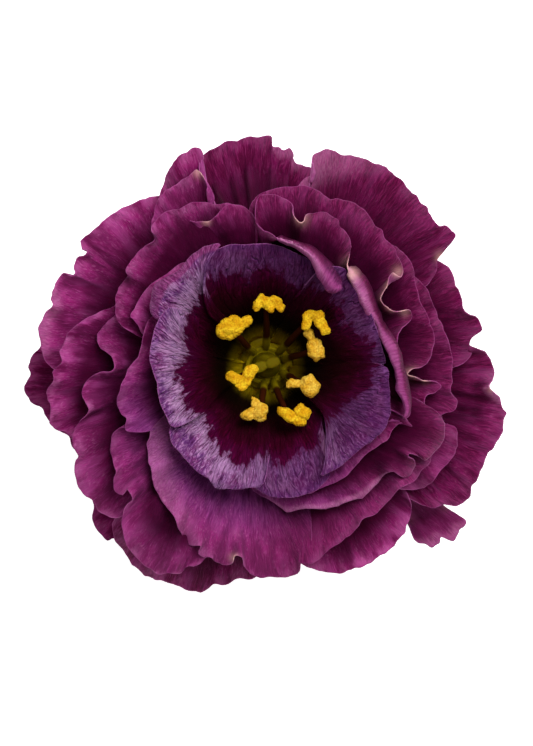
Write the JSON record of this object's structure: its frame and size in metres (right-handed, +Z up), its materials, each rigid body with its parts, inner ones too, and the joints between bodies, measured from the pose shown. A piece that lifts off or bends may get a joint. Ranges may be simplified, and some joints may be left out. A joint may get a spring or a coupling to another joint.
{
  "type": "lisianthus flower",
  "caption": "Double lisianthus bloom in deep magenta purple with ruffled petals, a lavender and maroon cup and golden anthers, cut short and lying face up.",
  "frame": {"origin": "on the surface that the bloom lies on, under the middle of the bloom", "axes": "+Z up out of the open cup, +Y towards the top of the picture, +X towards its right"},
  "size_m": [0.0861, 0.0816, 0.0441],
  "materials": {
    "petal": "velvety magenta purple petal",
    "cup_petal": "lavender rim over a dark maroon throat",
    "pollen": "grainy golden pollen",
    "filament": "satin red brown stem tissue",
    "pistil": "satin olive green tissue",
    "calyx": "satin green plant tissue"
  },
  "bodies": {
    "root": {"cup_right": "cup_petal", "cup_top": "cup_petal", "cup_upper_left": "cup_petal", "cup_left": "cup_petal", "cup_lower_left": "cup_petal", "cup_bottom": "cup_petal", "cup_lower_right": "cup_petal", "top_curled": "petal", "upper_right_curled": "petal", "left_upper_inner": "petal", "left_inner": "petal", "bottom_large": "petal", "bottom_right_inner": "petal", "lower_right_inner": "petal", "lower_right_curled": "petal", "upper_left_middle": "petal", "left_middle": "petal", "lower_left_middle": "petal", "upper_right_middle": "petal", "right_inner": "petal", "right_middle": "petal", "lower_right_middle": "petal", "upper_left_fold": "petal", "upper_left_back": "petal", "top_back": "petal", "upper_right_back": "petal", "right_back": "petal", "right_lower_back": "petal", "lower_right_lobed": "petal", "bottom_right_back": "petal", "bottom_back": "petal", "lower_left_tip": "petal", "left_back_upper": "petal", "left_back_middle": "petal", "left_back_lower": "petal", "anther_1": "pollen", "anther_2": "pollen", "anther_3": "pollen", "anther_4": "pollen", "anther_5": "pollen", "anther_6": "pollen", "anther_7": "pollen", "anther_8": "pollen", "filaments": "filament", "pistil": "pistil", "calyx": "calyx"}
  },
  "joints": []
}
